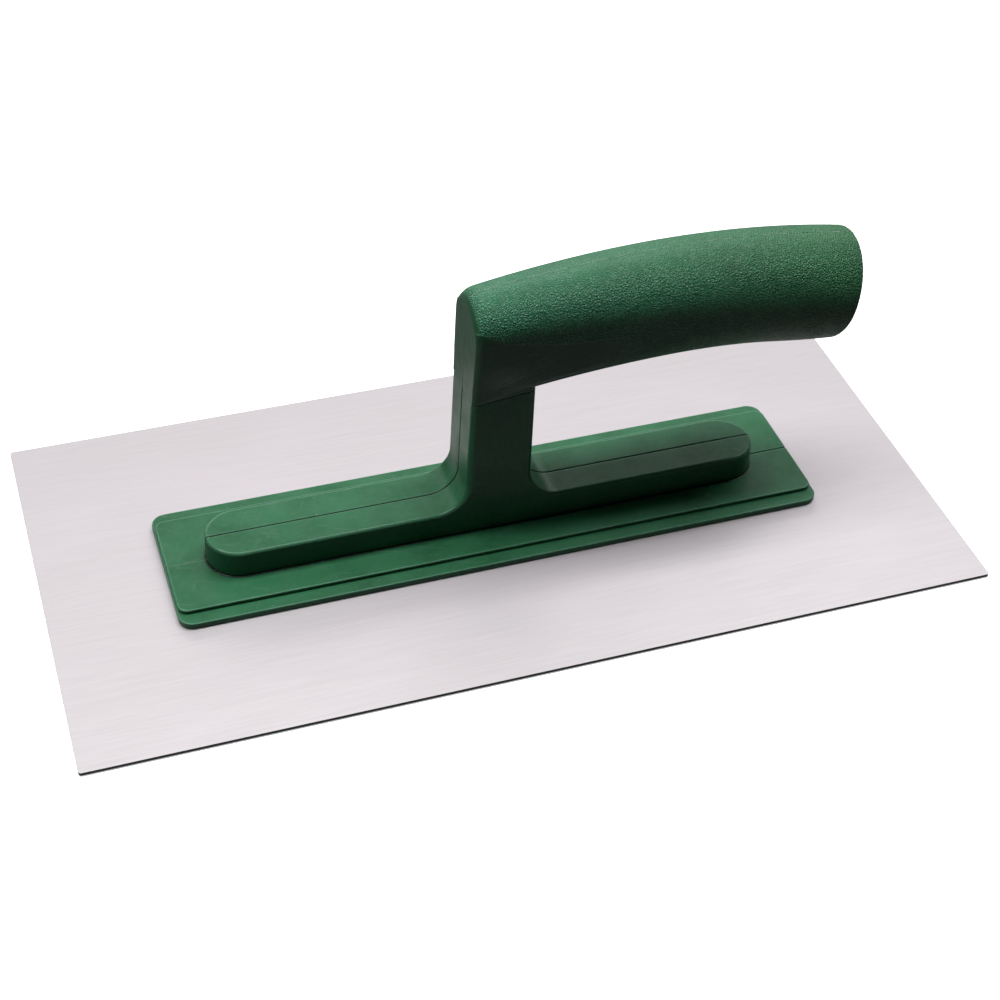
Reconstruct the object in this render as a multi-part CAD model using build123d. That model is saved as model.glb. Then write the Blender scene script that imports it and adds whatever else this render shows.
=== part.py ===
from build123d import *
import os
from math import hypot

# Finishing trowel: a stainless blade under a moulded plastic handle.
# Millimetres. X runs along the blade towards the free end of the grip, Y across it, Z up.
# The origin is the centre of the blade's working face, which is its underside.

# Blade
BLADE_LENGTH = 280.0
BLADE_WIDTH = 140.0
BLADE_THICKNESS = 1.0
BLADE_CORNER = 0.8

# Mounting plate, between the blade and the handle
PLATE_LENGTH = 206.0
PLATE_WIDTH = 50.0
PLATE_THICKNESS = 2.0
PLATE_CORNER = 4.5

# Handle foot: a thin flange, a long boss on it, and the lower part of the post
FLANGE_LENGTH = 205.0
FLANGE_WIDTH = 40.8
FLANGE_THICKNESS = 1.3
FLANGE_CORNER = 3.0
BOSS_LENGTH = 178.5
BOSS_WIDTH = 21.0
BOSS_HEIGHT = 8.9
BOSS_CENTRE_X = -1.0
BOSS_DRAFT = 1.5
BOSS_EDGE = 1.0
WALL = 2.5

# Post: the front face leans back a little, the rear face is upright
POST_FRONT_X = -11.2
POST_FRONT_LEAN = 0.0195
POST_REAR_X = 9.8
POST_WIDTH = 20.4
POST_CORNER = 2.2
POST_FRONT_FILLET = 9.3
POST_REAR_FILLET = 10.0

# Joint between the foot and the grip: a plane across the post that rises towards the rear
JOINT_Z = 54.6
JOINT_SLOPE = 0.118

# Grip: an arched tube whose waist, its widest line, is a quadratic Bezier curve in the XZ plane
WAIST_FRONT = (-9.1, 74.8)
WAIST_CONTROL = (54.9, 79.8)
WAIST_REAR = (108.0, 67.9)
HALF_WIDTH = (10.9, 16.4, 1.5)
RISE = (11.7, 19.4, 1.1)
DROP = (27.7, 15.8, -1.8)
GRIP_WALL = 3.2
GRIP_END_EDGE = 1.0
HOLLOW_START = 0.22
STATIONS = 7

# Plug in the free end of the grip; its places along the grip are fractions, like the stations
PLUG_START = 0.91
PLUG_FLOOR = 0.97
PLUG_END = 0.995
PLUG_WALL = 2.0
PLUG_CLEARANCE = 0.1

CORE_START = 17.0
RIB = 2.0

# Spigot of the foot in the socket of the grip, and the bolt that holds them together
SPIGOT_SIZE = 13.0
SPIGOT_CORNER = 2.0
SPIGOT_BOTTOM = 50.0
SPIGOT_TOP = 68.0
SOCKET_CLEARANCE = 0.15
BOLT_X = -0.4
BOLT_DIAMETER = 6.0
BOLT_HOLE = 6.4
BOLT_HEAD_DIAMETER = 10.0
BOLT_HEAD_HEIGHT = 4.0
BOLT_KEY = 5.0
BOLT_RECESS_DIAMETER = 13.0
BOLT_RECESS_TOP = 9.0
WASHER_DIAMETER = 12.4
WASHER_THICKNESS = 1.0
INSERT_DIAMETER = 8.6
INSERT_LENGTH = 11.0
BOLT_PAST_INSERT = 1.0

# Rivets between the blade and the mounting plate
RIVET_DIAMETER = 4.0
RIVET_TAIL_DIAMETER = 6.4
RIVET_TAIL_HEIGHT = 0.9
RIVET_POCKET_DIAMETER = 7.0
RIVET_ROWS_Y = (-15.0, 15.0)
RIVET_COLUMNS_X = (-90.0, -36.0, 36.0, 90.0)

# Screws from the mounting plate up into the boss
SCREW_DIAMETER = 4.0
SCREW_HEAD_DIAMETER = 8.0
SCREW_TOP = 10.2
SCREW_KEY = 2.0
SCREW_POST_DIAMETER = 9.0
SCREWS_X = (-77.0, -51.0, -25.0, 25.0, 50.0, 75.0)

# Heights of the layers
PLATE_BOTTOM = BLADE_THICKNESS
FLANGE_BOTTOM = PLATE_BOTTOM + PLATE_THICKNESS
BOSS_BOTTOM = FLANGE_BOTTOM + FLANGE_THICKNESS
BOSS_TOP = BOSS_BOTTOM + BOSS_HEIGHT
INSERT_TOP = SPIGOT_TOP + INSERT_LENGTH
BOLT_TOP = INSERT_TOP - BOLT_PAST_INSERT


# Helpers

def upright(bottom, top, x=0.0, y=0.0, diameter=1.0):
    """A round bar along Z."""
    bar = Cylinder(diameter / 2, top - bottom, align=(Align.CENTER, Align.CENTER, Align.MIN))
    return Pos(x, y, bottom) * bar


def taper(bottom, top, bottom_diameter, top_diameter, x=0.0, y=0.0):
    """A cone frustum along Z, such as a countersunk head."""
    cone = Cone(bottom_diameter / 2, top_diameter / 2, top - bottom,
                align=(Align.CENTER, Align.CENTER, Align.MIN))
    return Pos(x, y, bottom) * cone


def slab(outline, bottom, thickness):
    """A flat outline extruded upwards from a height."""
    return extrude(Pos(0, 0, bottom) * outline, thickness)


def rivet_places():
    return [(x, y) for y in RIVET_ROWS_Y for x in RIVET_COLUMNS_X]


def blend(front_rear_swell, t):
    """A size that runs from its front to its rear value and swells in the middle."""
    front, rear, swell = front_rear_swell
    return front * (1 - t) + rear * t + swell * 4 * t * (1 - t)


def waist(t):
    """Point of the grip's waist line, and its direction, in the XZ plane."""
    weights = ((1 - t) ** 2, 2 * t * (1 - t), t ** 2)
    points = (WAIST_FRONT, WAIST_CONTROL, WAIST_REAR)
    x, z = (sum(w * p[i] for w, p in zip(weights, points)) for i in (0, 1))
    dx, dz = (2 * (1 - t) * (points[1][i] - points[0][i]) + 2 * t * (points[2][i] - points[1][i])
              for i in (0, 1))
    size = hypot(dx, dz)
    return (x, z), (dx / size, dz / size)


def grip_section(t, inset=0.0):
    """Cross-section of the grip at t, from 0 at the post to 1 at the free end.

    It is half an ellipse above the waist and half a deeper or shallower one below it.
    """
    (x, z), (dx, dz) = waist(t)
    across = blend(HALF_WIDTH, t) - inset
    above = EllipticalCenterArc((0, 0), across, blend(RISE, t) - inset, 0, arc_size=180)
    below = EllipticalCenterArc((0, 0), across, blend(DROP, t) - inset, 180, arc_size=180)
    plane = Plane(origin=(x, 0, z), x_dir=(0, 1, 0), z_dir=(dx, 0, dz))
    return plane * make_face([above, below])


def grip_loft(start, end, inset=0.0, count=STATIONS):
    """The grip's solid between two places along it."""
    steps = [start + (end - start) * i / (count - 1) for i in range(count)]
    return loft([grip_section(t, inset) for t in steps])


def front_x(z):
    """X of the post's front face at a height."""
    return POST_FRONT_X + POST_FRONT_LEAN * z


def joint_point(x):
    """Point of the joint between foot and grip, in a side view."""
    return (x, JOINT_Z + JOINT_SLOPE * x)


def joint_front():
    """Point where the joint meets the post's leaning front face, in a side view."""
    z = joint_point(POST_FRONT_X)[1] / (1 - JOINT_SLOPE * POST_FRONT_LEAN)
    return (front_x(z), z)


# Sub-parts

def make_blade():
    sheet = slab(RectangleRounded(BLADE_LENGTH, BLADE_WIDTH, BLADE_CORNER), 0, BLADE_THICKNESS)
    for x, y in rivet_places():
        head_diameter = RIVET_DIAMETER + 2 * BLADE_THICKNESS
        sheet -= taper(0, BLADE_THICKNESS, head_diameter, RIVET_DIAMETER, x, y)
    return sheet


def make_mounting_plate():
    plate = slab(RectangleRounded(PLATE_LENGTH, PLATE_WIDTH, PLATE_CORNER), PLATE_BOTTOM, PLATE_THICKNESS)
    pocket_floor = FLANGE_BOTTOM - PLATE_THICKNESS / 2
    for x, y in rivet_places():
        plate -= upright(PLATE_BOTTOM, FLANGE_BOTTOM, x, y, RIVET_DIAMETER)
        plate -= upright(pocket_floor, FLANGE_BOTTOM, x, y, RIVET_POCKET_DIAMETER)
    for x in SCREWS_X:
        plate -= taper(PLATE_BOTTOM, FLANGE_BOTTOM, SCREW_HEAD_DIAMETER, SCREW_DIAMETER, x)
    return plate


def corner_at(shape, x, z):
    """The corner of a side view at a place in the XZ plane."""
    return shape.vertices().sort_by_distance((x, 0, z))[0]


def foot_post():
    """Lower post: a side view with its root fillets, extruded across and rounded at the corners."""
    base_front = front_x(BOSS_TOP) - 2 * POST_FRONT_FILLET
    base_rear = POST_REAR_X + 2 * POST_REAR_FILLET
    side = Plane.XZ * make_face(Polyline(
        (base_front, BOSS_BOTTOM), (base_front, BOSS_TOP), (front_x(BOSS_TOP), BOSS_TOP),
        joint_front(), joint_point(POST_REAR_X), (POST_REAR_X, BOSS_TOP),
        (base_rear, BOSS_TOP), (base_rear, BOSS_BOTTOM), close=True))
    side = fillet(corner_at(side, front_x(BOSS_TOP), BOSS_TOP), POST_FRONT_FILLET)
    side = fillet(corner_at(side, POST_REAR_X, BOSS_TOP), POST_REAR_FILLET)
    post = extrude(side, POST_WIDTH / 2, both=True)
    side_edges = post.edges().filter_by(
        lambda edge: abs(edge.center().Y) > POST_WIDTH / 2 - 0.1
        and BOSS_TOP - 0.1 < edge.center().Z < SPIGOT_BOTTOM
        and base_front + 0.1 < edge.center().X < base_rear - 0.1)
    return fillet(side_edges, POST_CORNER)


def boss():
    outline = Pos(BOSS_CENTRE_X, 0) * SlotOverall(BOSS_LENGTH, BOSS_WIDTH)
    block = extrude(Pos(0, 0, BOSS_BOTTOM) * outline, BOSS_HEIGHT, taper=BOSS_DRAFT)
    return fillet(block.faces().sort_by(Axis.Z)[-1].edges(), BOSS_EDGE)


def boss_pockets():
    """The cored-out underside of the boss, in front of and behind the post."""
    outline = Pos(BOSS_CENTRE_X, 0) * SlotOverall(BOSS_LENGTH - 2 * WALL, BOSS_WIDTH - 2 * WALL)
    pockets = slab(outline, FLANGE_BOTTOM, BOSS_TOP - WALL - FLANGE_BOTTOM)
    under_post = Pos(BOLT_X, 0, FLANGE_BOTTOM) * Box(2 * CORE_START, BOSS_WIDTH, BOSS_TOP)
    pockets -= under_post
    for x in SCREWS_X:
        pockets -= upright(FLANGE_BOTTOM, BOSS_TOP, x, 0, SCREW_POST_DIAMETER)
        pockets -= Pos(x, 0, BOSS_BOTTOM) * Box(RIB, BOSS_WIDTH, 2 * BOSS_TOP)
    return pockets


def make_handle_foot():
    foot = slab(RectangleRounded(FLANGE_LENGTH, FLANGE_WIDTH, FLANGE_CORNER), FLANGE_BOTTOM, FLANGE_THICKNESS)
    foot += boss()
    foot += foot_post()
    foot += spigot()
    foot -= boss_pockets()
    for x in SCREWS_X:
        foot -= upright(FLANGE_BOTTOM, SCREW_TOP, x, 0, SCREW_DIAMETER)
    foot -= upright(FLANGE_BOTTOM, BOLT_RECESS_TOP, BOLT_X, 0, BOLT_RECESS_DIAMETER)
    foot -= upright(FLANGE_BOTTOM, SPIGOT_TOP, BOLT_X, 0, BOLT_HOLE)
    return foot


def spigot(clearance=0.0):
    """The square peg on top of the post, or with a clearance the socket that it fits."""
    size = SPIGOT_SIZE + 2 * clearance
    outline = Pos(BOLT_X, 0) * RectangleRounded(size, size, SPIGOT_CORNER)
    return slab(outline, SPIGOT_BOTTOM, SPIGOT_TOP + clearance - SPIGOT_BOTTOM)


def upper_post():
    """The part of the post that belongs to the grip, up to the waist where the grip covers it."""
    top = WAIST_FRONT[1]
    side = Plane.XZ * make_face(Polyline(
        joint_point(POST_FRONT_X), (POST_FRONT_X, top), (POST_REAR_X, top), joint_point(POST_REAR_X), close=True))
    block = extrude(side, POST_WIDTH / 2, both=True)
    rear_edges = block.edges().filter_by(Axis.Z).sort_by(Axis.X)[-2:]
    return fillet(rear_edges, POST_CORNER)


def side_view_block(*corners):
    """A block wider than the handle, from its outline in a side view."""
    return extrude(Plane.XZ * make_face(Polyline(*corners, close=True)), PLATE_WIDTH, both=True)


def grip_outside():
    """The grip's outer form: an arched tube run into the post, flush with its front face."""
    tube = grip_loft(-0.04, 1.0)
    tube = fillet(tube.faces().sort_by(Axis.X)[-1].edges(), GRIP_END_EDGE)
    grip = tube + upper_post()
    far, above = 5 * POST_FRONT_X, 2 * JOINT_Z
    grip -= side_view_block((front_x(0), 0), (front_x(above), above), (far, above), (far, 0))
    grip -= side_view_block((far, 0), joint_point(far), joint_point(POST_REAR_X), (POST_REAR_X, 0))
    front_edges = grip.faces().sort_by(Axis.X)[0].edges()
    return fillet(front_edges.filter_by(lambda edge: edge.center().Z > JOINT_Z), POST_CORNER)


def make_handle_grip():
    grip = grip_outside()
    grip -= grip_loft(HOLLOW_START, 1.02, GRIP_WALL)
    grip -= spigot(SOCKET_CLEARANCE)
    grip -= upright(SPIGOT_TOP, INSERT_TOP, BOLT_X, 0, INSERT_DIAMETER)
    return grip


def make_grip_end_plug():
    """A thin cup pushed into the open end of the grip."""
    inset = GRIP_WALL + PLUG_CLEARANCE
    cup = grip_loft(PLUG_START, PLUG_END, inset, 3)
    return cup - grip_loft(2 * PLUG_START - PLUG_FLOOR, PLUG_FLOOR, inset + PLUG_WALL, 3)


def make_bolt():
    head_top = BOLT_RECESS_TOP - WASHER_THICKNESS
    head_bottom = head_top - BOLT_HEAD_HEIGHT
    bolt = upright(head_bottom, head_top, BOLT_X, 0, BOLT_HEAD_DIAMETER)
    bolt += upright(head_bottom, BOLT_TOP, BOLT_X, 0, BOLT_DIAMETER)
    key = Pos(BOLT_X, 0) * RegularPolygon(BOLT_KEY / 2, 6, major_radius=False)
    return bolt - slab(key, head_bottom, BOLT_HEAD_HEIGHT / 2)


def make_washer():
    bottom = BOLT_RECESS_TOP - WASHER_THICKNESS
    washer = upright(bottom, BOLT_RECESS_TOP, BOLT_X, 0, WASHER_DIAMETER)
    return washer - upright(bottom, BOLT_RECESS_TOP, BOLT_X, 0, BOLT_HOLE)


def make_threaded_insert():
    bottom = SPIGOT_TOP + SOCKET_CLEARANCE
    insert = upright(bottom, INSERT_TOP, BOLT_X, 0, INSERT_DIAMETER)
    return insert - upright(bottom, INSERT_TOP, BOLT_X, 0, BOLT_DIAMETER)


def make_rivets():
    """Countersunk rivets: heads flush with the working face, tails in the plate's pockets."""
    pocket_floor = FLANGE_BOTTOM - PLATE_THICKNESS / 2
    rivets = []
    for x, y in rivet_places():
        rivet = taper(0, BLADE_THICKNESS, RIVET_DIAMETER + 2 * BLADE_THICKNESS, RIVET_DIAMETER, x, y)
        rivet += upright(PLATE_BOTTOM, pocket_floor, x, y, RIVET_DIAMETER)
        rivet += upright(pocket_floor, pocket_floor + RIVET_TAIL_HEIGHT, x, y, RIVET_TAIL_DIAMETER)
        rivets.append(rivet.solid())
    return Compound(rivets)


def make_screws():
    screws = []
    for x in SCREWS_X:
        screw = taper(PLATE_BOTTOM, FLANGE_BOTTOM, SCREW_HEAD_DIAMETER, SCREW_DIAMETER, x)
        screw += upright(FLANGE_BOTTOM, SCREW_TOP, x, 0, SCREW_DIAMETER)
        key = Pos(x, 0) * RegularPolygon(SCREW_KEY / 2, 6, major_radius=False)
        screw -= slab(key, PLATE_BOTTOM, SCREW_KEY / 2)
        screws.append(screw.solid())
    return Compound(screws)


PARTS = {
    "blade": make_blade,
    "mounting_plate": make_mounting_plate,
    "handle_foot": make_handle_foot,
    "handle_grip": make_handle_grip,
    "grip_end_plug": make_grip_end_plug,
    "handle_bolt": make_bolt,
    "bolt_washer": make_washer,
    "threaded_insert": make_threaded_insert,
    "blade_rivets": make_rivets,
    "plate_screws": make_screws,
}

os.makedirs("parts", exist_ok=True)
for name, make in PARTS.items():
    export_step(make(), f"parts/{name}.step")
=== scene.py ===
from math import cos, pi, radians, sin

import bpy
import numpy as np
from mathutils import Matrix, Vector


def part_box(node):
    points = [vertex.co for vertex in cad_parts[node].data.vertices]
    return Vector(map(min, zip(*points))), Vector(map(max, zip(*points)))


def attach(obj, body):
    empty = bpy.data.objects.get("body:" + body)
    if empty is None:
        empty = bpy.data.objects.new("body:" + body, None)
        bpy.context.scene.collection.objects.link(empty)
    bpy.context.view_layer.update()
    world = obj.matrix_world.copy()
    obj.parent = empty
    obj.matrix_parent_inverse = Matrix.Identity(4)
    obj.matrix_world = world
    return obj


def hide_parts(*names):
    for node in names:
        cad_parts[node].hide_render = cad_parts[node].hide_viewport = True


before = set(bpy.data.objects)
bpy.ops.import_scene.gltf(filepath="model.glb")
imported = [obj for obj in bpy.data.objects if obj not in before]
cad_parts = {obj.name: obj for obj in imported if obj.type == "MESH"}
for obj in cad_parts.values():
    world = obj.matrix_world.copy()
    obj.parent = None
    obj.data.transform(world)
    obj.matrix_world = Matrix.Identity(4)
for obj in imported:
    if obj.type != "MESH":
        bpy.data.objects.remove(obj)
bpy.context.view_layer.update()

# Sizes of the handle are in millimetres, like the CAD model's. Everything else is in metres.
MM = 0.001

# The camera stands to the left of the near long side of the blade and looks down on it.
VIEW_AZIMUTH = -20.17
VIEW_ELEVATION = 41.65
VIEW_ROLL = 2.76
VIEW_DISTANCE = 0.5977
VIEW_OFFSET = (0.00345, 0.00376)
VIEW_LENS = 68.06
SENSOR_WIDTH = 36.0
FLOOR_HALF = 0.6
FLOOR_Z = -0.0002
BLADE_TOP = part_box("blade")[1].z

# Mounting plate, the flange of the foot that rests on it, and the boss on top of the flange
PLATE_BOTTOM = 1.0
PLATE_HALF = (103.0, 25.0)
PLATE_CORNER = 4.5
PLATE_EDGE = 0.3
FLANGE_BOTTOM = 3.0
FLANGE_TOP = 4.3
FLANGE_HALF = (102.5, 20.4)
FLANGE_CORNER = 3.0
FLANGE_EDGE = 0.35
BOSS_TOP = 13.2
BOSS_CENTRE_X = -1.0
BOSS_STRAIGHT = 78.75
BOSS_HALF_WIDTH = 10.5
BOSS_SLOPE = 0.0262
BOSS_EDGE = 1.0

# Post: a leaning front face, an upright rear face, flat sides
POST_FRONT_X = -11.2
POST_LEAN = 0.0195
POST_REAR_X = 9.8
POST_HALF_WIDTH = 10.2
POST_CORNER = 2.2
ROOT_FILLET_FRONT = 9.3
ROOT_FILLET_REAR = 10.0

# Joint between foot and grip: a plane across the post that rises towards the rear
JOINT_Z = 54.6
JOINT_SLOPE = 0.118
JOINT_GAP = 0.03
JOINT_EDGE = 0.15

# Grip: its waist is a quadratic Bezier curve, and the sizes are (front, rear, swell in the middle)
WAIST = np.array(((-9.1, 74.8), (54.9, 79.8), (108.0, 67.9)))
HALF_WIDTH = (10.9, 16.4, 1.5)
RISE = (11.65, 19.3, 1.0)
# Its lower side: (fraction along the waist, depth below it), smoothed by a cubic. The corner between
# side and bottom has this radius at the post, and grows into the full half width towards the free end.
UNDERSIDE = ((0.1, 19.2), (0.3, 16.4), (0.5, 16.7), (0.75, 17.1), (1.0, 15.9))
UNDERSIDE_CORNER = 3
# Heights between which the flat sides at the post widen, and the arch's front corner grows rounder
FLARE = (55, 77)
ARCH_TURN = (78, 86)
ARCH_EDGE = 4.0
END_EDGE = 0.8
# The free end stands this far past the end of the waist
END_PROUD = 0.6
BORE_START = 0.86
GRIP_WALL = 3.2

# Height where the grain begins: low along the grip, and higher towards the post's front face
GRAIN_LOW_Z = 72.5
GRAIN_RISE = 6.5
GRAIN_FRONT_X = -8
GRAIN_FADE = 11
# Places along x between which the grain spreads over the whole side
GRAIN_REAR = (18, 48)

# Parting line of the two mould halves, along y = 0
GROOVE_DEPTH = 0.30
GROOVE_WIDTH = 0.22
RIDGE_HEIGHT = 0.10


# Shapes as fields: negative inside, zero on the surface, about the distance to it in millimetres

def smooth_step(start, end, value):
    share = np.clip((value - start) / (end - start), 0, 1)
    return share * share * (3 - 2 * share)


def blend(front_rear_swell, t):
    front, rear, swell = front_rear_swell
    return front * (1 - t) + rear * t + swell * 4 * t * (1 - t)


def join(a, b, radius):
    """Both solids together, with a hollow fillet where they meet."""
    return np.maximum(radius, np.minimum(a, b)) - np.hypot(
        np.maximum(radius - a, 0), np.maximum(radius - b, 0))


def meet(a, b, radius):
    """What both solids share, with a rounded edge where they meet."""
    return np.minimum(-radius, np.maximum(a, b)) + np.hypot(
        np.maximum(radius + a, 0), np.maximum(radius + b, 0))


def rounded_plate(x, y, z, half, corner, bottom, top, edge):
    beyond_x = np.abs(x) - half[0] + corner
    beyond_y = np.abs(y) - half[1] + corner
    outline = np.hypot(np.maximum(beyond_x, 0), np.maximum(beyond_y, 0)) \
        + np.minimum(np.maximum(beyond_x, beyond_y), 0) - corner
    middle = (bottom + top) / 2
    return meet(outline, np.abs(z - middle) - (top - bottom) / 2, edge)


def front_x(z):
    return POST_FRONT_X + POST_LEAN * z


def groove(y, depth):
    return depth * np.exp(-(y / GROOVE_WIDTH) ** 2)


def foot_field(x, y, z):
    flange = rounded_plate(x, y, z, FLANGE_HALF, FLANGE_CORNER, FLANGE_BOTTOM, FLANGE_TOP,
                           FLANGE_EDGE)
    flange_groove = groove(y, GROOVE_DEPTH) * (0.5 + smooth_step(-60, 80, x))
    flange += flange_groove * (z > FLANGE_BOTTOM + 0.3)
    along = np.maximum(np.abs(x - BOSS_CENTRE_X) - BOSS_STRAIGHT, 0)
    height = np.clip(z - FLANGE_TOP, 0, BOSS_TOP - FLANGE_TOP)
    sides = np.hypot(along, y) - BOSS_HALF_WIDTH + BOSS_SLOPE * height
    post = np.maximum(front_x(z) - x, x - POST_REAR_X)
    fillet = np.where(x < 0, ROOT_FILLET_FRONT, ROOT_FILLET_REAR)
    above = join(z - BOSS_TOP, post, fillet)
    corner = BOSS_EDGE + (POST_CORNER - BOSS_EDGE) * smooth_step(BOSS_TOP, BOSS_TOP + 12, z)
    body = meet(sides, above, corner)
    body = np.maximum(body, FLANGE_BOTTOM + 0.5 - z)
    body += groove(y, GROOVE_DEPTH)
    body = meet(body, z - JOINT_Z - JOINT_SLOPE * x + JOINT_GAP, JOINT_EDGE)
    return join(flange, body, FLANGE_EDGE)


def plate_field(x, y, z):
    return rounded_plate(x, y, z, PLATE_HALF, PLATE_CORNER, PLATE_BOTTOM, FLANGE_BOTTOM, PLATE_EDGE)


def waist_terms():
    """Start of the waist curve, and its first and second derivatives there."""
    front, control, rear = WAIST
    return front, 2 * (control - front), 2 * (rear - 2 * control + front)


def waist_offset(x, z, t):
    """The waist's direction at t, and the way from the waist there to a point, in the XZ plane."""
    front, first, second = waist_terms()
    run = [first[i] + second[i] * t for i in (0, 1)]
    off = [p - front[i] - first[i] * t - second[i] * t * t / 2 for i, p in enumerate((x, z))]
    return run, off


def waist_place(x, z):
    """A point's fraction along the waist, its height above it, and the waist's length per fraction."""
    front, _, second = waist_terms()
    t = np.clip((x - front[0]) / (WAIST[2][0] - front[0]), -0.1, 1.15)
    for _ in range(4):
        run, off = waist_offset(x, z, t)
        fall = run[0] ** 2 + run[1] ** 2 - off[0] * second[0] - off[1] * second[1]
        t = t + (off[0] * run[0] + off[1] * run[1]) / fall
        t = np.clip(t, -0.2, 1.25)
    run, off = waist_offset(x, z, t)
    speed = np.hypot(*run)
    return t, (off[1] * run[0] - off[0] * run[1]) / speed, speed


def tube(y, t, above, inset=0.0):
    """The grip's round section: half an ellipse above the waist, a rounded box below it."""
    wide = blend(HALF_WIDTH, t) - inset
    rise = blend(RISE, t) - inset
    size = np.hypot(y / wide, above / rise)
    slope = np.hypot(y / wide ** 2, above / rise ** 2) / np.maximum(size, 1e-6)
    upper = (size - 1) / np.maximum(slope, 1e-6)
    places, drops = np.array(UNDERSIDE).T
    drop = np.polynomial.Polynomial.fit(places, drops, 3)(t) - inset
    radius = UNDERSIDE_CORNER + (wide - UNDERSIDE_CORNER) * smooth_step(0.12, 0.8, t)
    lower = meet(np.abs(y) - wide, -above - drop, radius)
    return np.where(above > 0, upper, lower)


def grain_edge(x):
    """Height where the grained, swelling upper part of the grip meets the post's smooth flat side."""
    return GRAIN_LOW_Z + GRAIN_RISE * np.exp(-(x - GRAIN_FRONT_X) / GRAIN_FADE)


def grained(x, y, z):
    """1 on the grip's grained skin, 0 on the smooth faces at the post."""
    skin = smooth_step(-0.4, 0.6, z - grain_edge(x))
    rear = smooth_step(*GRAIN_REAR, x)
    return np.maximum(skin, rear) * smooth_step(0.3, 1.2, x - front_x(z))


def grip_field(x, y, z):
    t, above, speed = waist_place(x, z)
    body = tube(y, t, above)
    edge_z = grain_edge(x)
    clear = blend(HALF_WIDTH, t) + 1.5
    flat = POST_HALF_WIDTH + (clear - POST_HALF_WIDTH) * smooth_step(-4, 18, x)
    side = flat + (clear - flat) * smooth_step(*FLARE, z)
    body = meet(body, np.abs(y) - side, 0.6)
    post = meet(np.abs(y) - POST_HALF_WIDTH, x - POST_REAR_X, POST_CORNER)
    post = np.maximum(post, z - edge_z)
    body = join(body, post, 0.4)
    corner = POST_CORNER + (ARCH_EDGE - POST_CORNER) * smooth_step(*ARCH_TURN, z)
    ahead = front_x(z) - x
    body = meet(body, ahead, corner)
    body += groove(y, 0.3 * GROOVE_DEPTH) * smooth_step(-9, -9.8, x)
    body -= groove(y, RIDGE_HEIGHT) * (above > 0)
    behind = x - POST_REAR_X - JOINT_EDGE
    joint = JOINT_Z + JOINT_SLOPE * x - 2 * np.maximum(behind, 0)
    body = meet(body, joint + JOINT_GAP - z, JOINT_EDGE)
    body = meet(body, (t - 1) * speed - END_PROUD, END_EDGE)
    bore = np.maximum(tube(y, t, above, GRIP_WALL), (BORE_START - t) * speed)
    return meet(body, -bore, 0.4)


# Meshes from fields

def grid_lines(start, end, step, *fine):
    """Places from start to end, a step apart, and closer near each fine (place, reach, step)."""
    places = [start]
    while places[-1] < end:
        gaps = [step]
        for place, reach, small in fine:
            gaps.append(small + 0.3 * max(abs(places[-1] - place) - reach, 0))
        places.append(places[-1] + min(gaps))
    return np.array(places)


def both_sides(fine):
    return [(side * place, reach, step) for place, reach, step in fine for side in (-1, 1)]


def slope_of(field, points, reach=0.02):
    """Gradient of a field at some points."""
    columns = []
    for unit in np.eye(3):
        ahead, behind = points + reach * unit, points - reach * unit
        columns.append((field(*ahead.T) - field(*behind.T)) / (2 * reach))
    return np.stack(columns, 1)


def crossing_points(values, cells, lines):
    """For each crossed cell, the middle of the places where its edges cross the surface."""
    total, hits = np.zeros((len(cells), 3)), np.zeros(len(cells))
    for corner in np.ndindex(2, 2, 2):
        for axis in range(3):
            if corner[axis]:
                continue
            start = cells + corner
            end = start + np.eye(3, dtype=int)[axis]
            a, b = values[tuple(start.T)], values[tuple(end.T)]
            cut = (a < 0) != (b < 0)
            share = np.where(cut, a / np.where(cut, a - b, 1), 0)
            place = np.stack([lines[i][start[:, i]] for i in range(3)], 1)
            place[:, axis] += share * (lines[axis][end[:, axis]] - lines[axis][start[:, axis]])
            total[cut] += place[cut]
            hits += cut
    return total / hits[:, None]


def surface(field, *lines):
    """Points and four-sided faces of the surface where a field is zero."""
    values = field(*np.meshgrid(*lines, indexing="ij"))
    inside = values < 0
    size = inside.shape
    count = sum(inside[tuple(slice(c, size[i] - 1 + c) for i, c in enumerate(corner))].astype(int)
                for corner in np.ndindex(2, 2, 2))
    crossed = (count > 0) & (count < 8)
    cells = np.argwhere(crossed)
    number = np.full(crossed.shape, -1)
    number[crossed] = np.arange(len(cells))
    points = crossing_points(values, cells, lines)
    faces = []
    for a in range(3):
        b, c = (a + 1) % 3, (a + 2) % 3
        low = inside.take(range(size[a] - 1), axis=a)
        high = inside.take(range(1, size[a]), axis=a)
        edges = np.argwhere(low != high)
        around = []
        for step_b, step_c in ((-1, -1), (0, -1), (0, 0), (-1, 0)):
            cell = edges.copy()
            cell[:, b] += step_b
            cell[:, c] += step_c
            around.append(number[tuple(cell.T)])
        around = np.stack(around, 1)
        falling = high[tuple(edges.T)]
        around[falling] = around[falling][:, ::-1]
        faces.append(around)
    for _ in range(4):
        slope = slope_of(field, points)
        move = field(*points.T) / np.maximum((slope ** 2).sum(1), 0.1)
        points = points - np.clip(move, -0.3, 0.3)[:, None] * slope
    return points, np.concatenate(faces)


def bend_of(field, points, reach=0.6):
    """How sharply the surface bends: above 0 on outer edges, below 0 in grooves and inner corners."""
    around = sum(field(*(points + side * reach * unit).T) for unit in np.eye(3) for side in (-1, 1))
    return (around - 6 * field(*points.T)) / reach ** 2


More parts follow.
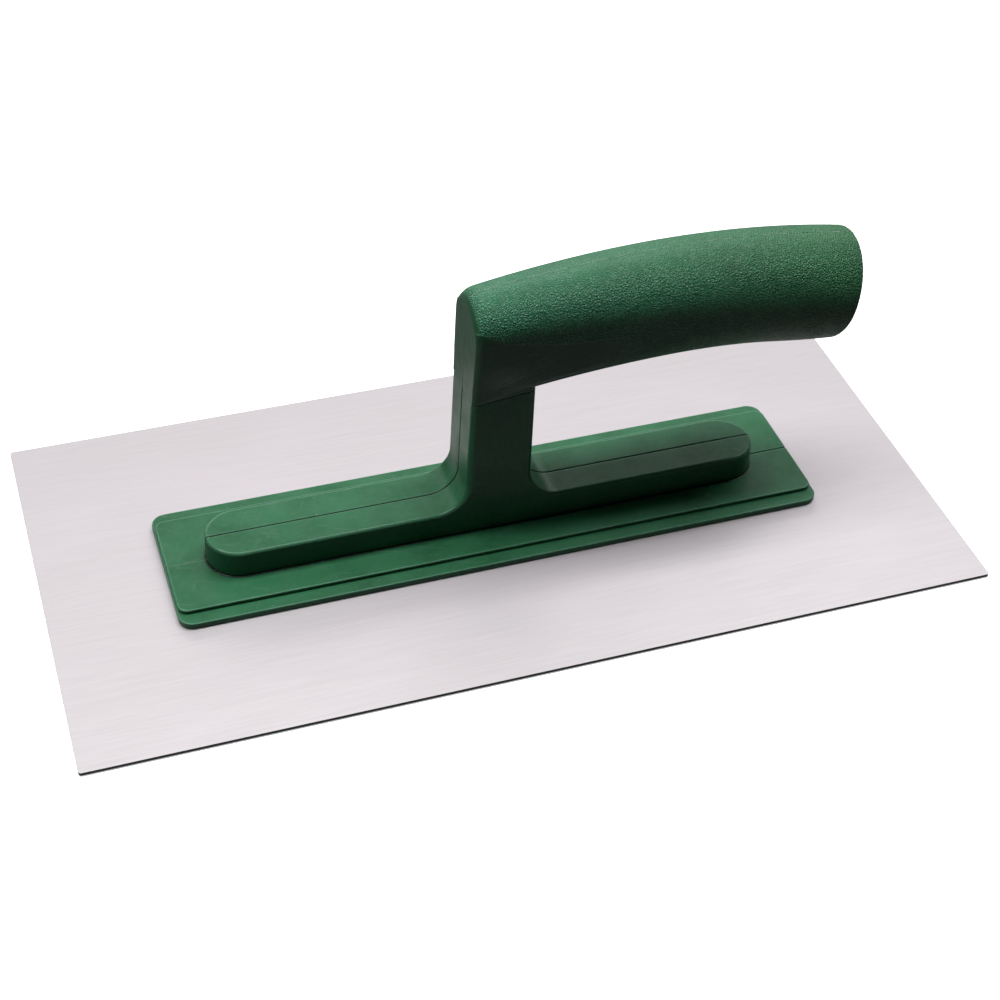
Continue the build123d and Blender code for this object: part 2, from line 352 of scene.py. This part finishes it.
def solid(name, field, *lines, texture=None):
    """A piece whose surface is where the field is zero; texture tells how grained each point is."""
    points, faces = surface(field, *lines)
    normals = slope_of(field, points, 0.01)
    normals /= np.linalg.norm(normals, axis=1)[:, None]
    mesh = bpy.data.meshes.new(name)
    mesh.from_pydata((points * MM).tolist(), [], faces.tolist())
    mesh.polygons.foreach_set("use_smooth", [True] * len(faces))
    mesh.normals_split_custom_set_from_vertices(normals.tolist())
    grain = texture(*points.T) if texture else np.zeros(len(points))
    measures = {"bend": bend_of(field, points), "grain": grain}
    for label, values in measures.items():
        attribute = mesh.attributes.new(label, "FLOAT", "POINT")
        attribute.data.foreach_set("value", values.astype(np.float32))
    mesh.update()
    piece = bpy.data.objects.new(name, mesh)
    bpy.context.scene.collection.objects.link(piece)
    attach(piece, "root")
    print(name, len(points), "points", len(faces), "faces")
    return piece


# The grids of the three mouldings are closer at their edges, the parting line and the joint.

def make_foot():
    lines = (
        grid_lines(-104, 104, 1.0, *both_sides([(102.5, 0.5, 0.15), (89.5, 1.5, 0.4)]),
                   (-10.6, 1.5, 0.4), (9.8, 1.5, 0.4)),
        grid_lines(-21.4, 21.4, 0.9, (0, 0.5, 0.07), *both_sides([(20.3, 0.4, 0.12), (9.9, 0.8, 0.25)])),
        grid_lines(2.5, 57, 0.9, (3.0, 0.2, 0.15), (4.2, 0.4, 0.12), (12.9, 0.5, 0.2), (54.6, 1.5, 0.15)),
    )
    return solid("foot_body", foot_field, *lines)


def make_grip():
    lines = (
        grid_lines(-12, 112, 0.9, (-9.6, 0.6, 0.25), (9.8, 1.0, 0.3), (105, 5, 0.5)),
        grid_lines(-19, 19, 0.8, (0, 0.5, 0.07), *both_sides([(9.9, 0.8, 0.3)])),
        grid_lines(50, 93, 0.8, (54.6, 1.5, 0.2), (75, 3, 0.5), (86.5, 1, 0.4)),
    )
    return solid("grip_body", grip_field, *lines, texture=grained)


def make_plate():
    lines = (
        grid_lines(-104, 104, 2.5, *both_sides([(102.9, 0.3, 0.12), (99, 3.5, 0.5)])),
        grid_lines(-26, 26, 2.5, *both_sides([(24.9, 0.3, 0.12), (21, 3.5, 0.5)])),
        grid_lines(0.5, 3.5, 0.5, (1.1, 0.2, 0.1), (2.9, 0.2, 0.1)),
    )
    return solid("base_plate", plate_field, *lines)


# Materials

DEEP_GREEN = (0.0130, 0.074, 0.031, 1)
PALE_GREEN = (0.022, 0.112, 0.050, 1)
MOTTLE_GREEN = (0.025, 0.124, 0.060, 1)
# lighter green for worn scratches, and for the painted highlight on outer edges
WEAR_AND_EDGE_HIGHLIGHT_GREEN = (0.075, 0.200, 0.130, 1)
# painted shade, mixed into grooves and inner corners
CREASE_SHADE = (0.002, 0.008, 0.005, 1)
# pale flecks, and the painted highlight along the grip's parting ridge
SPECK_AND_RIDGE_HIGHLIGHT = (0.16, 0.22, 0.18, 1)
STREAK = (0.085, 0.105, 0.10, 1)
STEEL = (0.444, 0.421, 0.437)
# dull sheared edge, darkened further as a painted dark reflection
SHEARED_EDGE_DARK_REFLECTION = (0.20, 0.23, 0.22)
ZINC = (0.55, 0.56, 0.58)
BRASS = (0.72, 0.50, 0.22)
CLOUD_TINT = (1.03, 1.015, 1.035)
GRAIN_SIZE = 0.0008
GRAIN_DRIFT = 0.0009
SCRATCH_STRETCH = 20
FLOW_CENTRE = (-0.026, 0, 0.047)
FLOW_LINES_PER_RADIAN = 26.0
FLOW_WAVES_PER_METRE = 38.0
# painted sheen: the grip lighter and bluer at the front, less towards the rear
FRONT_SHEEN_TINT = (1.4, 1.5, 1.75, 1)
REAR_SHEEN_TINT = (0.85, 1.0, 0.8, 1)
# painted reflection: the grip's smooth faces at the post greyer and less green
SMOOTH_REFLECTION_TINT = (1.25, 0.72, 0.87, 1)


def add(tree, kind, inputs=None, **settings):
    """A shader node with settings, and numbers or other nodes' outputs on its inputs."""
    node = tree.nodes.new("ShaderNode" + kind)
    for name, value in settings.items():
        setattr(node, name, value)
    for name, value in (inputs or {}).items():
        if isinstance(value, bpy.types.NodeSocket):
            tree.links.new(value, node.inputs[name])
        else:
            node.inputs[name].default_value = value
    return node


def new_material(name):
    material = bpy.data.materials.new(name)
    material.use_nodes = True
    tree = material.node_tree
    tree.nodes.clear()
    shader = add(tree, "BsdfPrincipled")
    output = add(tree, "OutputMaterial")
    tree.links.new(shader.outputs[0], output.inputs["Surface"])
    return material, tree, shader


def noise(tree, size, detail=3.0, stretch=(1, 1, 1), roughness=0.5):
    """Noise with lumps of about a size in metres, stretched along the axes."""
    where = add(tree, "TexCoord").outputs["Object"]
    density = [1 / (size * s) for s in stretch]
    scaled = add(tree, "VectorMath", {0: where, 1: density}, operation="MULTIPLY")
    texture = add(tree, "TexNoise", {"Vector": scaled.outputs[0], "Scale": 1.0, "Detail": detail,
                                     "Roughness": roughness})
    return texture.outputs["Fac"]


def noise_color(tree, size):
    where = add(tree, "TexCoord").outputs["Object"]
    return add(tree, "TexNoise", {"Vector": where, "Scale": 1 / size, "Detail": 2.0}).outputs["Color"]


def remap(tree, value, low, high, to_low=0.0, to_high=1.0):
    node = add(tree, "MapRange", {"Value": value, "From Min": low, "From Max": high,
                                  "To Min": to_low, "To Max": to_high})
    return node.outputs["Result"]


def mix_color(tree, share, a, b, how="MIX"):
    node = add(tree, "Mix", data_type="RGBA", blend_type=how)
    for socket, value in ((node.inputs[0], share), (node.inputs[6], a), (node.inputs[7], b)):
        if isinstance(value, bpy.types.NodeSocket):
            tree.links.new(value, socket)
        else:
            socket.default_value = value
    return node.outputs[2]


def bump(tree, shader, *layers):
    """Surface relief from (height pattern, height in metres) layers, one over the other."""
    normal = None
    for pattern, height in layers:
        inputs = {"Height": pattern, "Distance": height, "Strength": 1.0}
        if normal:
            inputs["Normal"] = normal
        normal = add(tree, "Bump", inputs).outputs["Normal"]
    tree.links.new(normal, shader.inputs["Normal"])


def measure(tree, name):
    return add(tree, "Attribute", attribute_name=name).outputs["Fac"]


def calculate(tree, how, *values):
    node = add(tree, "Math", operation=how)
    for socket, value in zip(node.inputs, values):
        if isinstance(value, bpy.types.NodeSocket):
            tree.links.new(value, socket)
        else:
            socket.default_value = value
    return node.outputs[0]


def scratches(tree, size, turn, keep):
    """Thin lines in one direction: 1 on a scratch, 0 beside it."""
    where = add(tree, "TexCoord").outputs["Object"]
    turned = add(tree, "VectorRotate", {"Vector": where, "Angle": turn}, rotation_type="Z_AXIS")
    density = (1 / (SCRATCH_STRETCH * size), 1 / size, 1 / size)
    scaled = add(tree, "VectorMath", {0: turned.outputs[0], 1: density}, operation="MULTIPLY")
    texture = add(tree, "TexNoise", {"Vector": scaled.outputs[0], "Scale": 1.0, "Detail": 2.0})
    return remap(tree, texture.outputs["Fac"], keep, keep + 0.03)


def plastic_color(tree):
    """Green with cloudy and speckled variation, with a painted highlight on outer edges and painted shade in
    grooves and inner corners.
    """
    clouds = remap(tree, noise(tree, 0.018, 5), 0.3, 0.7)
    green = mix_color(tree, clouds, DEEP_GREEN, PALE_GREEN)
    mottle = remap(tree, noise(tree, 0.0017, 3), 0.4, 0.7, 0.0, 0.35)
    green = mix_color(tree, mottle, green, MOTTLE_GREEN)
    bend = measure(tree, "bend")
    # painted highlight: lighter on outer edges, where the bend is above 0
    green = mix_color(tree, remap(tree, bend, 0.4, 1.4, 0.0, 0.4), green, WEAR_AND_EDGE_HIGHLIGHT_GREEN)
    # painted shade: darker in grooves and inner corners, where the bend is below 0
    return mix_color(tree, remap(tree, bend, -0.25, -1.3, 0.0, 0.95), green, CREASE_SHADE)


def smooth_plastic():
    material, tree, shader = new_material("smooth_green_plastic")
    color = plastic_color(tree)
    marks = calculate(tree, "MAXIMUM", scratches(tree, 0.0006, 0.35, 0.66),
                      scratches(tree, 0.0005, -1.1, 0.68))
    color = mix_color(tree, calculate(tree, "MULTIPLY", marks, 0.12), color, WEAR_AND_EDGE_HIGHLIGHT_GREEN)
    specks = remap(tree, noise(tree, 0.0009, 0), 0.84, 0.88, 0.0, 0.35)
    color = mix_color(tree, specks, color, SPECK_AND_RIDGE_HIGHLIGHT)
    tree.links.new(color, shader.inputs["Base Color"])
    rough = remap(tree, noise(tree, 0.007, 4), 0.3, 0.7, 0.30, 0.42)
    rough = calculate(tree, "ADD", rough, calculate(tree, "MULTIPLY", marks, 0.12))
    tree.links.new(rough, shader.inputs["Roughness"])
    shader.inputs["Specular IOR Level"].default_value = 0.25
    bump(tree, shader, (noise(tree, 0.0008, 3), 0.00002), (noise(tree, 0.010, 2), 0.00012),
         (marks, -0.00001))
    return material


def grained_plastic():
    material, tree, shader = new_material("grained_green_plastic")
    where = add(tree, "TexCoord").outputs["Object"]
    parts = add(tree, "SeparateXYZ", {"Vector": where})
    along = remap(tree, parts.outputs["X"], -0.008, 0.106)
    grain = measure(tree, "grain")
    smooth_side = calculate(tree, "SUBTRACT", 1.0, grain)
    # painted sheen: lighter and bluer towards the front of the grip
    sheen_tint = mix_color(tree, along, FRONT_SHEEN_TINT, REAR_SHEEN_TINT)
    # painted reflection: the smooth faces greyer and less green
    tint = mix_color(tree, smooth_side, sheen_tint, SMOOTH_REFLECTION_TINT)
    color = mix_color(tree, 1.0, plastic_color(tree), tint, "MULTIPLY")

    # leather-like grain: rounded cells between thin creases
    drift = add(tree, "VectorMath", {0: noise_color(tree, 0.002), 1: [GRAIN_DRIFT] * 3},
                operation="MULTIPLY").outputs[0]
    moved = add(tree, "VectorMath", {0: where, 1: drift}, operation="ADD").outputs[0]
    cells = add(tree, "TexVoronoi", {"Vector": moved, "Scale": 1 / GRAIN_SIZE},
                feature="DISTANCE_TO_EDGE")
    creases = remap(tree, cells.outputs["Distance"], 0.0, 0.35)
    leather = calculate(tree, "MULTIPLY", creases, grain)
    color = mix_color(tree, remap(tree, leather, 0.0, 0.5, 0.8, 0.0), color, DEEP_GREEN)

    # flow lines that fan out from the post on its smooth sides
    ahead = calculate(tree, "SUBTRACT", parts.outputs["X"], FLOW_CENTRE[0])
    up = calculate(tree, "SUBTRACT", parts.outputs["Z"], FLOW_CENTRE[2])
    angle = calculate(tree, "ARCTAN2", up, ahead)
    reach = add(tree, "VectorMath", {0: where, 1: FLOW_CENTRE}, operation="DISTANCE").outputs["Value"]
    fan = add(tree, "CombineXYZ", {"X": calculate(tree, "MULTIPLY", angle, FLOW_LINES_PER_RADIAN),
                                   "Y": calculate(tree, "MULTIPLY", reach, FLOW_WAVES_PER_METRE)}).outputs[0]
    lines = add(tree, "TexNoise", {"Vector": fan, "Scale": 1.0, "Detail": 5.0, "Roughness": 0.65})
    streaks = remap(tree, lines.outputs["Fac"], 0.50, 0.68)
    streaks = calculate(tree, "MULTIPLY", streaks, smooth_side)
    streaks = calculate(tree, "MULTIPLY", streaks, remap(tree, parts.outputs["X"], -0.0095, -0.003))
    color = mix_color(tree, calculate(tree, "MULTIPLY", streaks, 0.7), color, STREAK)

    # painted highlight: a pale, broken line along the ridge where the two mould halves meet on top
    aside = calculate(tree, "ABSOLUTE", parts.outputs["Y"])
    seam_highlight = remap(tree, aside, 0.0001, 0.0003, 0.5, 0.0)
    broken = remap(tree, noise(tree, 0.004, 3), 0.42, 0.55)
    seam_highlight = calculate(tree, "MULTIPLY", calculate(tree, "MULTIPLY", seam_highlight, broken), grain)
    color = mix_color(tree, seam_highlight, color, SPECK_AND_RIDGE_HIGHLIGHT)
    tree.links.new(color, shader.inputs["Base Color"])
    rough = remap(tree, noise(tree, 0.006, 4), 0.3, 0.7, 0.46, 0.56)
    rough = calculate(tree, "SUBTRACT", rough, calculate(tree, "MULTIPLY", smooth_side, 0.14))
    rough = calculate(tree, "SUBTRACT", rough, calculate(tree, "MULTIPLY", streaks, 0.1))
    tree.links.new(rough, shader.inputs["Roughness"])
    shader.inputs["Specular IOR Level"].default_value = 0.36
    bump(tree, shader, (leather, 0.00018), (noise(tree, 0.012, 2), 0.00012), (streaks, 0.00001))
    return material


def steel(name, color, rough, edge):
    """Brushed steel: fine lines along the blade, faint clouds, and sides of their own colour, which on the
    blade is a dull sheared edge with a painted dark reflection.
    """
    material, tree, shader = new_material(name)
    fine = noise(tree, 0.0004, 4, stretch=(40, 1, 1))
    clouds = noise(tree, 0.05, 4, stretch=(1.6, 1, 1))
    dark = tuple(0.97 * c for c in color)
    face = mix_color(tree, remap(tree, fine, 0.3, 0.7, 0.0, 0.5), (*color, 1), (*dark, 1))
    light = tuple(lift * c for lift, c in zip(CLOUD_TINT, color))
    face = mix_color(tree, remap(tree, clouds, 0.45, 0.65, 0.0, 0.8), face, (*light, 1))
    # sides get the edge colour: on the blade a painted dark reflection on the dull sheared edge
    normal = add(tree, "NewGeometry").outputs["True Normal"]
    upright = add(tree, "SeparateXYZ", {"Vector": normal}).outputs["Z"]
    flat = remap(tree, calculate(tree, "ABSOLUTE", upright), 0.3, 0.9)
    tree.links.new(mix_color(tree, flat, (*edge, 1), face), shader.inputs["Base Color"])
    shader.inputs["Metallic"].default_value = 1.0
    level = remap(tree, fine, 0.3, 0.7, rough - 0.03, rough + 0.03)
    tree.links.new(level, shader.inputs["Roughness"])
    bump(tree, shader, (fine, 0.0000012))
    return material


def paint(piece, *materials):
    piece.data.materials.clear()
    for material in materials:
        piece.data.materials.append(material)


# Studio

def direction(azimuth, elevation):
    """Unit vector towards a place around the object: azimuth 0 is in front, on the -Y side."""
    azimuth, elevation = radians(azimuth), radians(elevation)
    return Vector((sin(azimuth) * cos(elevation), -cos(azimuth) * cos(elevation), sin(elevation)))


def make_camera():
    roll = radians(VIEW_ROLL)
    back = direction(VIEW_AZIMUTH, VIEW_ELEVATION)
    right = Vector((0, 0, 1)).cross(back).normalized()
    up = back.cross(right)
    right, up = cos(roll) * right + sin(roll) * up, cos(roll) * up - sin(roll) * right
    place = VIEW_OFFSET[0] * right + VIEW_OFFSET[1] * up + VIEW_DISTANCE * back
    place.z += BLADE_TOP
    data = bpy.data.cameras.new("camera")
    data.lens = VIEW_LENS
    data.sensor_width = SENSOR_WIDTH
    camera = bpy.data.objects.new("camera", data)
    bpy.context.scene.collection.objects.link(camera)
    camera.matrix_world = Matrix.Translation(place) @ Matrix((right, up, back)).transposed().to_4x4()
    bpy.context.scene.camera = camera


def make_floor():
    """A floor that the camera sees white, and that throws little light back at the object."""
    mesh = bpy.data.meshes.new("floor")
    corners = [(x * FLOOR_HALF, y * FLOOR_HALF, FLOOR_Z) for x, y in ((-1, -1), (1, -1), (1, 1), (-1, 1))]
    mesh.from_pydata(corners, [], [(0, 1, 2, 3)])
    floor = bpy.data.objects.new("floor", mesh)
    bpy.context.scene.collection.objects.link(floor)
    material, tree, shader = new_material("floor_white")
    ray = add(tree, "LightPath").outputs
    bounced = mix_color(tree, ray["Is Diffuse Ray"], (0.12, 0.12, 0.12, 1), (0.010, 0.015, 0.015, 1))
    seen = mix_color(tree, ray["Is Camera Ray"], bounced, (0.85, 0.85, 0.85, 1))
    tree.links.new(seen, shader.inputs["Base Color"])
    shader.inputs["Emission Color"].default_value = (1, 1, 1, 1)
    glow = calculate(tree, "MULTIPLY", ray["Is Camera Ray"], 0.35)
    tree.links.new(glow, shader.inputs["Emission Strength"])
    shader.inputs["Roughness"].default_value = 0.9
    shader.inputs["Specular IOR Level"].default_value = 0.0
    mesh.materials.append(material)


def make_light(name, azimuth, elevation, distance, width, height, brightness, color):
    """A soft box that faces the object, as bright all over as `brightness` times white paper."""
    away = direction(azimuth, elevation)
    data = bpy.data.lights.new(name, "AREA")
    data.shape = "RECTANGLE"
    data.size = width
    data.size_y = height
    data.energy = brightness * pi * width * height
    data.color = color
    light = bpy.data.objects.new(name, data)
    light.location = distance * away
    light.rotation_euler = away.to_track_quat("Z", "Y").to_euler()
    bpy.context.scene.collection.objects.link(light)


def make_world(strength, color):
    """A dim glow all around, behind which the camera sees white."""
    world = bpy.data.worlds.new("world")
    bpy.context.scene.world = world
    world.use_nodes = True
    tree = world.node_tree
    glow = tuple(strength * c for c in color)
    seen = mix_color(tree, add(tree, "LightPath").outputs["Is Camera Ray"], (*glow, 1), (1, 1, 1, 1))
    tree.links.new(seen, tree.nodes["Background"].inputs["Color"])


bpy.context.scene.view_settings.view_transform = "Standard"
make_camera()
make_floor()
make_world(0.004, (1.0, 0.95, 0.9))

# name, azimuth, elevation, distance, width, height, brightness, colour
make_light("overhead", 180, 82, 0.8, 1.5, 0.25, 12.0, (1.0, 1.0, 0.99))
make_light("back", 180, 21, 1.5, 2.2, 0.35, 5.2, (1.0, 0.98, 0.98))
make_light("sky", 165, 42, 1.7, 3.2, 0.9, 0.40, (1.0, 0.99, 1.0))
make_light("right", 118, 38, 1.5, 0.7, 0.7, 1.4, (0.95, 1.0, 1.0))
make_light("front", -10, 58, 1.2, 0.5, 0.12, 2.0, (0.70, 0.90, 1.0))

foot = make_foot()
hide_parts("handle_foot")
grip = make_grip()
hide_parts("handle_grip")
plate = make_plate()
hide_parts("mounting_plate")

foot_plastic = smooth_plastic()
paint(foot, foot_plastic)
paint(plate, foot_plastic)
paint(grip, grained_plastic())
finishes = {"blade": steel("blade_steel", STEEL, 0.66, SHEARED_EDGE_DARK_REFLECTION),
            "threaded_insert": steel("turned_brass", BRASS, 0.35, BRASS),
            "grip_end_plug": foot_plastic}
zinc = steel("zinc_plated_steel", ZINC, 0.38, ZINC)
for name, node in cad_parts.items():
    if name not in ("handle_foot", "handle_grip", "mounting_plate"):
        paint(node, finishes.get(name, zinc))
